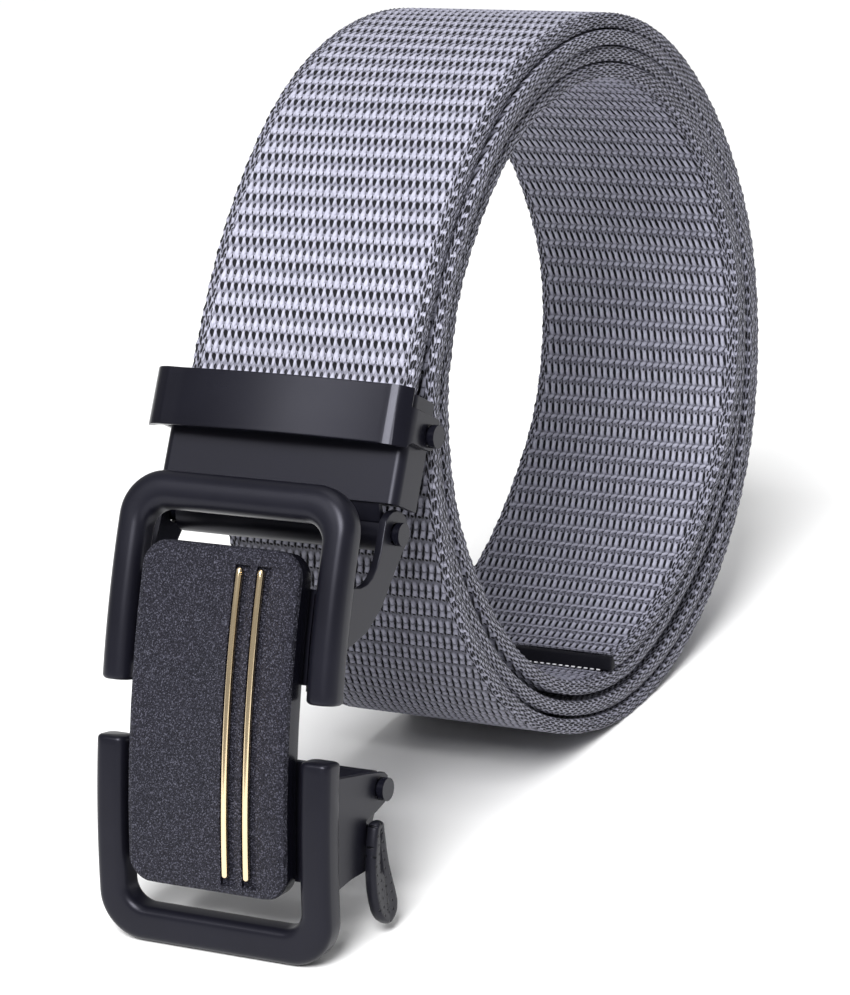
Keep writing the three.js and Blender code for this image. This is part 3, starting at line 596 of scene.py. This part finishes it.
# the buckle's curved line and its two U shapes in mm, as in the part's source: the front is an arc, placed
# by the hinge pin, and along runs down it from the top
buckle = {
    "curve": 138.0, "lean": 29.5, "hingeFromTop": 4.4, "hingeDepth": 13.3,
    "width": 36.4, "middle": -0.6, "length": 65.4, "thickness": 4.2, "corner": 6.5, "window": 3.0,
    "side": 4.5, "top": 5.2, "bottom": 5.0, "upperEnd": 29.2, "lowerStart": 36.8,
    "webTop": 14.0, "webEnd": 54.2, "webKept": 13.1, "backRound": 1.2, "endRound": 0.6,
    "upperRound": 1.55, "upperCrown": 0.5, "lowerRound": 1.15, "lowerCrown": 0.12,
}
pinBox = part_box("hinge_pin")
hingeAt = np.array([(pinBox[0].y + pinBox[1].y) / 2, (pinBox[0].z + pinBox[1].z) / 2]) / mm


# the way out of the front at a place along it: lean less along / radius, turned from straight forward
def frontNormal(along):
    lean = np.radians(buckle["lean"]) - along / buckle["curve"]
    return np.stack([-np.cos(lean), np.sin(lean)], -1)


curveCentre = hingeAt + frontNormal(buckle["hingeFromTop"]) * (buckle["hingeDepth"] - buckle["curve"])


# a point drawn as (across, along, behind) in mm, on the frame's curve, in metres: the curve's centre and,
# along the way out of the front, its radius less the depth behind
def onFrame(across, along, behind):
    point = curveCentre + frontNormal(along) * (buckle["curve"] - behind)[..., None]
    return np.stack([across, point[..., 0], point[..., 1]], -1) * mm


# along and behind of a point on the buckle, the other way round
def offFrame(point):
    away = np.array([point.y, point.z]) / mm - curveCentre
    lean = math.atan2(away[1], -away[0])
    return (math.radians(buckle["lean"]) - lean) * buckle["curve"], buckle["curve"] - math.hypot(*away)


# an object from its mesh, riding on its body in place of its node
def newPiece(mesh, body, node):
    piece = bpy.data.objects.new(mesh.name, mesh)
    bpy.context.collection.objects.link(piece)
    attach(piece, body)
    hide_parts(node)
    return piece


# a piece that is a closed tube, in one material
def tubePiece(name, points, inverted, material, body, node):
    mesh = tubeMesh(name, points, inverted)
    mesh.materials.append(material)
    mesh.update()
    newPiece(mesh, body, node)


# a bar swept between an outer and an inner line: its section is a rectangle with rounded corners whose
# front bulges by the crown, 1 - (2 a / w - 1)^2; at its two ends the section shrinks along a quarter circle
def softBar(outer, inner, low, high, rounds, crown, endRound):
    lead = np.linspace(0, np.pi / 2, 5)[:-1]
    retreat, shrink = endRound * (1 - np.sin(lead))[:, None], endRound * (1 - np.cos(lead))
    begin = (outer[0] - outer[1]) / np.linalg.norm(outer[0] - outer[1])
    finish = (outer[-1] - outer[-2]) / np.linalg.norm(outer[-1] - outer[-2])
    outer, inner = (
        np.concatenate([line[0] - begin * retreat[::-1], line[1:-1], line[-1] - finish * retreat])
        for line in (outer, inner))
    inset = np.concatenate([shrink[::-1], np.zeros(len(outer) - 2 * len(lead)), shrink])
    width = np.linalg.norm(inner - outer, axis=1)[:, None]
    front, back = rounds
    q = np.linspace(0, np.pi / 2, 6)
    ones = np.ones((len(outer), 1))
    spread = np.linspace(0, 1, 7)[None, 1:-1]
    a = np.concatenate([
        front * (1 - np.sin(q[::-1])) * ones, front + (width - 2 * front) * spread,
        width - front * (1 - np.sin(q)), width - back * (1 - np.sin(q[::-1])),
        back * (1 - np.sin(q)) * ones], 1)
    c = np.concatenate([
        low + front * (1 - np.cos(q[::-1])), low + 0 * spread[0], low + front * (1 - np.cos(q)),
        high - back * (1 - np.cos(q[::-1])), high - back * (1 - np.cos(q))]) * ones
    c = c + crown * (2 * a / width - 1) ** 2 * (high - c) / (high - low)
    a = width / 2 + (a - width / 2) * (1 - 2 * inset[:, None] / width)
    c = (low + high) / 2 + (c - (low + high) / 2) * (1 - 2 * inset[:, None] / (high - low))
    plan = outer[:, None, :] + (inner - outer)[:, None, :] * (a / width)[..., None]
    return plan, c


# half the outline of a U from its leg's end to the middle of its bar, mirrored on; along runs from the bar,
# and the lower U is drawn from the buckle's bottom end
def frameU(name, legEnd, bar, frontRound, crown, flip):
    half, corner, window = buckle["width"] / 2, buckle["corner"], buckle["window"]
    inside = half - buckle["side"]
    leg = np.linspace(1, 0, 16)[:-1]
    turn = np.linspace(0, np.pi / 2, 15)
    rest = np.linspace(0, 1, 8)[1:-1]
    outX = np.concatenate([
        -half + 0 * leg, -half + corner * (1 - np.cos(turn)), (-half + corner) * (1 - rest)])
    outY = np.concatenate([corner + (legEnd - corner) * leg, corner * (1 - np.sin(turn)), 0 * rest])
    inX = np.concatenate([
        -inside + 0 * leg, -inside + window * (1 - np.cos(turn)), (-inside + window) * (1 - rest)])
    inY = np.concatenate([
        bar + window + (legEnd - bar - window) * leg, bar + window * (1 - np.sin(turn)), bar + 0 * rest])
    outer = np.stack([np.concatenate([outX, -outX[::-1]]), np.concatenate([outY, outY[::-1]])], -1)
    inner = np.stack([np.concatenate([inX, -inX[::-1]]), np.concatenate([inY, inY[::-1]])], -1)
    plan, behind = softBar(outer, inner, 0.0, buckle["thickness"], (frontRound, buckle["backRound"]),
                           crown, buckle["endRound"])
    along = buckle["length"] - plan[..., 1] if flip else plan[..., 1]
    points = onFrame(buckle["middle"] + plan[..., 0], along, behind)
    tubePiece(name, points, flip, satinBlack, "buckle", "buckle_frame")


frameU("frame_upper_u", buckle["upperEnd"], buckle["top"],
       buckle["upperRound"], buckle["upperCrown"], False)
frameU("frame_lower_u", buckle["length"] - buckle["lowerStart"], buckle["bottom"],
       buckle["lowerRound"], buckle["lowerCrown"], True)


# each hard piece that keeps its node's shape: its body and slot, its finish, and how far its edges are
# eased in mm
hardware = {
    "clamp_body": ("belt", "clamp", satinBlack, 0.15),
    "clamp_clip": ("clip", "clip", clipBlack, 0.18),
    "clip_rivet_left": ("belt", "pins", glossBlack, 0.25),
    "clip_rivet_right": ("belt", "pins", glossBlack, 0.25),
    "hinge_pin": ("buckle", "pins", glossBlack, 0.25),
    "lock_pin": ("buckle", "pins", glossBlack, 0.25),
    "buckle_frame": ("buckle", "frame", satinBlack, 0.15),
    "release_lever": ("lever", "lever", satinBlack, 0.3),
    "face_plate": ("buckle", "plate", grainPlate, 0.12),
    "tail_seal": ("belt", "seal", sealBlack, 0.3),
}
# easing: doubles closer than this in metres, flat up to and sharp past these degrees, smooth shading up to
# the last, and the shortest edge that is eased, in times the easing
easing = {"doubles": 0.000002, "flat": 0.6, "sharp": 50, "smooth": 30, "shortest": 2.5}
# the clip's front: its bulge in the middle, cuts across it, how far its ends stay out of the bulge, and the
# length and depth of the drop at its ends, in mm
clipSwell = {"bulge": 0.95, "slices": 40, "margin": 2.5, "end": 1.8, "endDrop": 0.6}
# the plate: how much longer it is past a place along the frame, and how deep its grained rim goes, in mm
plate = {"past": 47.0, "longer": 1.1, "rim": 0.8}
# the frame's rear: its rim that stands above the lower legs, and the web's reach under the left leg, in mm
rear = {"above": 34.5, "rimDepth": 6.5, "behindEnd": 0.5, "tuck": 0.4, "near": 0.3}
# how far the outermost parts of a piece lie beyond the node's in mm: past the place, by the reach
widened = {
    "face_plate": [(-8.0, -1.15), (8.5, 0.5)], "clamp_clip": [(-16.0, -1.2)],
    "clip_rivet_left": [(-19.4, -1.2)], "buckle_frame": [(-14.0, -1.2)],
    "hinge_pin": [(-16.0, -1.2)], "lock_pin": [(-16.0, -1.2)],
}


# the lever's leaf in mm: its outline from the lock pin, down and back in shares of its length and depth, as
# in the source; its rounded rim, the hollow of its broad faces and how far in it is reached
leaf = {
    "top": 4.2, "length": 16.4, "front": -5.3, "depth": 6.4, "thickness": 1.7, "middle": 18.35,
    "lockFromTop": 42.8, "lockDepth": 15.3, "rim": 0.55, "hollow": 0.2, "reach": 2.6, "spineTop": 1.2,
    "spineEnd": 2.6, "points": 6, "steps": [1.0, 1.6, 2.4, 4.0],
    "outline": np.array([
        [0, 0.2], [0.1, 0.1], [0.26, 0.03], [0.44, 0], [0.6, 0.02], [0.74, 0.09],
        [0.84, 0.18], [0.93, 0.33], [1, 0.58], [0.99, 0.76], [0.93, 0.94], [0.83, 1],
        [0.74, 0.96], [0.6, 0.85], [0.44, 0.72], [0.27, 0.62], [0.11, 0.54], [0, 0.46]]),
}


# rings shrink from the outline, a cubic through its corners, to its spine; d being the way in, half
# thickness is h sqrt(1 - (1 - d / rim)^2) less a hollow that grows by half a cosine wave to its reach
def leverLeaf():
    corners = leaf["outline"]
    count = len(corners)
    t = np.linspace(0, count, leaf["points"] * count, endpoint=False)
    i = t.astype(int)
    f = (t - i)[:, None]
    p = [corners[(i + k) % count] for k in (-1, 0, 1, 2)]
    ring = 0.5 * (2 * p[1] + (p[2] - p[0]) * f + (2 * p[0] - 5 * p[1] + 4 * p[2] - p[3]) * f**2
                  + (3 * p[1] - p[0] - 3 * p[2] + p[3]) * f**3)
    ring = ring * (leaf["length"], leaf["depth"]) + (leaf["top"], leaf["front"])
    spine = ring * 0
    spine[:, 0] = np.clip(
        ring[:, 0], leaf["top"] + leaf["spineTop"], leaf["top"] + leaf["length"] - leaf["spineEnd"])
    share = (spine[:, 0] - leaf["top"]) / leaf["length"]
    half = count // 2
    frontEdge = np.interp(share, corners[:half, 0], corners[:half, 1])
    backEdge = np.interp(share, corners[:half - 1:-1, 0], corners[:half - 1:-1, 1])
    spine[:, 1] = leaf["front"] + leaf["depth"] * (frontEdge + backEdge) / 2
    reach = np.linalg.norm(spine - ring, axis=1)[:, None]
    steps = np.concatenate([leaf["rim"] * (1 - np.cos(np.linspace(0.15, np.pi / 2, 6))), leaf["steps"]])
    rings = []
    for side in (1, -1):
        for step in (steps if side == 1 else steps[::-1]):
            way = np.minimum(step, reach * 0.98)
            plan = ring + (spine - ring) * way / np.maximum(reach, 1e-6)
            near = np.clip(1 - way[:, 0] / leaf["rim"], 0, 1)
            hollow = leaf["hollow"] * (1 - np.cos(np.pi * np.clip(way[:, 0] / leaf["reach"], 0, 1))) / 2
            lift = leaf["thickness"] / 2 * np.sqrt(1 - near**2) - hollow
            rings.append((leaf["middle"] + side * lift, leaf["lockFromTop"] + plan[:, 0],
                          leaf["lockDepth"] + plan[:, 1]))
    rings = rings[len(steps) - 1::-1] + rings[:len(steps) - 1:-1]
    points = onFrame(*(np.stack([r[k] for r in rings]) for k in range(3)))
    tubePiece("lever_leaf", points, True, dimpled, "lever", "release_lever")


leverLeaf()


# takes away what the leaf stands for: all of the lever beyond the leaf's inner face
def dropLeaf(shape):
    inside = (leaf["middle"] - leaf["thickness"] / 2 - 0.02) * mm
    gone = [face for face in shape.faces if min(v.co.x for v in face.verts) > inside]
    bmesh.ops.delete(shape, geom=gone, context="FACES")


# moves a vertex to a place along and behind the frame's curve
def placeOnFrame(v, along, behind):
    v.co = Vector(onFrame(np.array(v.co.x / mm), np.array(along), np.array(behind)))


# takes away what the swept pieces stand for: the two U shapes of the frame
def dropBars(shape):
    front = buckle["thickness"] + 0.05
    gone = []
    for face in shape.faces:
        spots = [offFrame(v.co) for v in face.verts]
        along = sum(a for a, b in spots) / len(spots)
        inWeb = (buckle["webTop"] - 0.1 < along < buckle["webEnd"] + 0.1
                 and abs(face.calc_center_median().x) < (buckle["webKept"] + 0.05) * mm)
        if max(b for a, b in spots) < front and not inWeb:
            gone.append(face)
    bmesh.ops.delete(shape, geom=gone, context="FACES")
    # what stands above the lower legs goes down behind their ends
    for v in shape.verts:
        along, behind = offFrame(v.co)
        above = rear["above"] < along < buckle["lowerStart"] + rear["near"]
        if abs(v.co.x / mm) > buckle["webKept"] and above and behind < rear["rimDepth"]:
            placeOnFrame(v, buckle["lowerStart"] + rear["behindEnd"], behind)
    # the web's left rim reaches under the wider frame's leg
    legInside = buckle["middle"] - buckle["width"] / 2 + buckle["side"]
    for v in shape.verts:
        if abs(v.co.x / mm + buckle["webKept"]) < rear["near"] and offFrame(v.co)[1] < front:
            v.co.x = (legInside - rear["tuck"]) * mm


# outwards from the clip's front, square to the clamp's axis
clipFront = Vector((0, lineDirection[0][1], -lineDirection[0][0]))
if clipFront.y > 0:
    clipFront.negate()


# the clip's front swells towards its middle: it is cut across and goes forward by bulge (1 - (x / half)^2),
# and near its ends back by drop ((|x| - half + end) / end)^2
def swell(shape):
    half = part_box("clamp_clip")[1].x
    frontMost = max(v.co @ clipFront for v in shape.verts)
    for x in np.linspace(-half, half, clipSwell["slices"] + 1)[1:-1]:
        everything = shape.verts[:] + shape.edges[:] + shape.faces[:]
        bmesh.ops.bisect_plane(shape, geom=everything, plane_co=(x, 0, 0), plane_no=(1, 0, 0), dist=1e-6)
    end = clipSwell["end"] * mm
    for v in shape.verts:
        reach = 1 - (v.co.x / (half - clipSwell["margin"] * mm)) ** 2
        drop = max(abs(v.co.x) - half + end, 0) / end
        forward = v.co @ clipFront - frontMost
        if reach > 0:
            v.co += clipSwell["bulge"] * mm * reach * clipFront
        if forward > -end:
            v.co -= clipSwell["endDrop"] * mm * drop**2 * (1 + forward / end) * clipFront


# the plate's lower end reaches further down the frame
def lengthen(shape):
    for v in shape.verts:
        along, behind = offFrame(v.co)
        if along > plate["past"]:
            placeOnFrame(v, along + plate["longer"], behind)


# painted highlight: pale beads along the tail's lower front edge stand in for the glints there, each a small
# box, in mm
glintBeads = {"first": -8.0, "last": 16.2, "step": 1.06, "long": 0.58, "high": 0.15, "up": 0.25, "out": 0.02}


# painted highlight: pale boxes that stand in for the glints along the tail's lower edge
def tailGlintBeads(shape):
    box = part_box("tail_seal")
    size = Matrix.Diagonal((glintBeads["long"] * mm, glintBeads["high"] * mm, glintBeads["high"] * mm, 1))
    for x in np.arange(glintBeads["first"], glintBeads["last"], glintBeads["step"]):
        place = Vector((x * mm, box[0].y - glintBeads["out"] * mm, box[0].z + glintBeads["up"] * mm))
        made = bmesh.ops.create_cube(shape, size=1, matrix=Matrix.Translation(place) @ size)
        for v in made["verts"]:
            for face in v.link_faces:
                face.material_index = 1


# what is cut from a piece's shape before its flat faces are joined, and what is bent after
cuts = {"release_lever": dropLeaf, "buckle_frame": dropBars}
bends = {"clamp_clip": swell, "face_plate": lengthen}


# a hard piece with eased edges: the node's shape with its doubles merged and flat faces joined, every sharp
# edge rounded in two steps, and smooth shading where it is nearly flat
def easedPiece(node, body, material, ease):
    shape = bmesh.new()
    shape.from_mesh(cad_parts[node].data)
    bmesh.ops.remove_doubles(shape, verts=shape.verts, dist=easing["doubles"])
    if node in cuts:
        cuts[node](shape)
    bmesh.ops.dissolve_limit(
        shape, angle_limit=math.radians(easing["flat"]), verts=shape.verts, edges=shape.edges)
    if node in bends:
        bends[node](shape)
    for past, reach in widened.get(node, []):
        for v in shape.verts:
            if v.co.x / mm * math.copysign(1, past) > abs(past):
                v.co.x += reach * mm
    sharp = [edge for edge in shape.edges
             if edge.is_manifold and edge.calc_face_angle(0) > math.radians(easing["sharp"])
             and edge.calc_length() > easing["shortest"] * ease * mm]
    bmesh.ops.bevel(shape, geom=sharp, offset=ease * mm, offset_type="OFFSET", segments=2, profile=0.5,
                    affect="EDGES", clamp_overlap=False)
    bmesh.ops.remove_doubles(shape, verts=shape.verts, dist=easing["doubles"] / 2)
    for face in shape.faces:
        face.smooth = True
    for edge in shape.edges:
        edge.smooth = edge.is_manifold and edge.calc_face_angle(0) < math.radians(easing["smooth"])
    if node == "tail_seal":
        tailGlintBeads(shape)
    mesh = bpy.data.meshes.new(node + "_eased")
    shape.to_mesh(mesh)
    shape.free()
    mesh.materials.append(material)
    # painted highlight: the beads along the tail's lower edge take the pale material
    if node == "tail_seal":
        mesh.materials.append(paleGlintBeads)
    if node == "face_plate":  # grain in front, gloss behind the rim
        mesh.materials.append(glossBlack)
        top = min(offFrame(v.co)[1] for v in mesh.vertices)
        for face in mesh.polygons:
            face.material_index = int(offFrame(face.center)[1] > top + plate["rim"])
    piece = newPiece(mesh, body, node)
    weighted = piece.modifiers.new("weighted", "WEIGHTED_NORMAL")
    weighted.keep_sharp = True


for node, (body, slotName, material, ease) in hardware.items():
    easedPiece(node, body, material, ease)


# the bright bars in mm: rods along the frame's curve, with their places across it
bars = {"radius": 0.48, "top": 12.2, "length": 41.4, "middle": -1.25, "high": 0.55, "places": (2.8, 6.1)}


# an oval rod of radius r across and the height behind; towards each domed end both shrink by the root of 1
# - (1 - near / r)^2, near being the way to that end
def goldBar(index, across):
    r = bars["radius"]
    dome = r * (1 - np.cos(np.linspace(0, np.pi / 2, 6)))
    t = np.concatenate([dome, np.linspace(r, bars["length"] - r, 40)[1:-1], bars["length"] - dome[::-1]])
    near = np.minimum(t, bars["length"] - t)
    girth = np.sqrt(np.clip(1 - np.clip(1 - near / r, 0, 1) ** 2, 0.0004, 1))[:, None]
    turn = np.linspace(0, 2 * np.pi, 17)[:-1][None, :]
    points = onFrame(across + r * girth * np.cos(turn), bars["top"] + t[:, None] + 0 * turn,
                     bars["middle"] - bars["high"] * girth * np.sin(turn))
    tubePiece(f"gold_bar_{index}_rod", points, False, paleGold, "buckle", f"gold_bar_{index}")


for index, across in enumerate(bars["places"], 1):
    goldBar(index, across)
print("hardware done")

# the floor's and the world's brightness; each soft light's place and size in metres and its power in watts
studio = {
    "floor": 0.9, "floorRoughness": 0.7, "floorGloss": 0.1, "reach": 8, "world": 0.36,
    "target": (0, 0, 0.06),
    "lights": {
        "key": ((0.35, -1.5, 1.6), 1.0, 75.0),
        "top": ((0.2, 0.2, 1.8), 1.2, 8.0),
        "sheen": ((-0.62, -1.045, 0.98), 0.3, 2.4)},
}
floorMesh = bpy.data.meshes.new("floor")
reach = studio["reach"]
floorMesh.from_pydata(
    [(-reach, -reach, 0), (reach, -reach, 0), (reach, reach, 0), (-reach, reach, 0)], [], [(0, 1, 2, 3)])
floor = bpy.data.objects.new("floor", floorMesh)
bpy.context.collection.objects.link(floor)
floorPaint, floorTree, shader = newMaterial("floorPaint")
shader.inputs["Base Color"].default_value = (studio["floor"],) * 3 + (1,)
shader.inputs["Roughness"].default_value = studio["floorRoughness"]
shader.inputs["Specular IOR Level"].default_value = studio["floorGloss"]
floorMesh.materials.append(floorPaint)

world = bpy.data.worlds.new("studio")
world.use_nodes = True
world.node_tree.nodes["Background"].inputs[0].default_value = (1, 1, 1, 1)
world.node_tree.nodes["Background"].inputs[1].default_value = studio["world"]
bpy.context.scene.world = world


# a square soft light, turned to face the belt
def softLight(name, spot, size, power):
    light = bpy.data.lights.new(name, "AREA")
    light.shape = "RECTANGLE"
    light.size, light.size_y = size, size
    light.energy = power
    lamp = bpy.data.objects.new(name, light)
    lamp.location = spot
    lamp.rotation_euler = (Vector(studio["target"]) - Vector(spot)).to_track_quat("-Z", "Y").to_euler()
    bpy.context.collection.objects.link(lamp)


for name, (spot, size, power) in studio["lights"].items():
    softLight(name, spot, size, power)
bpy.context.scene.view_settings.view_transform = "Standard"
print("floor and light done")
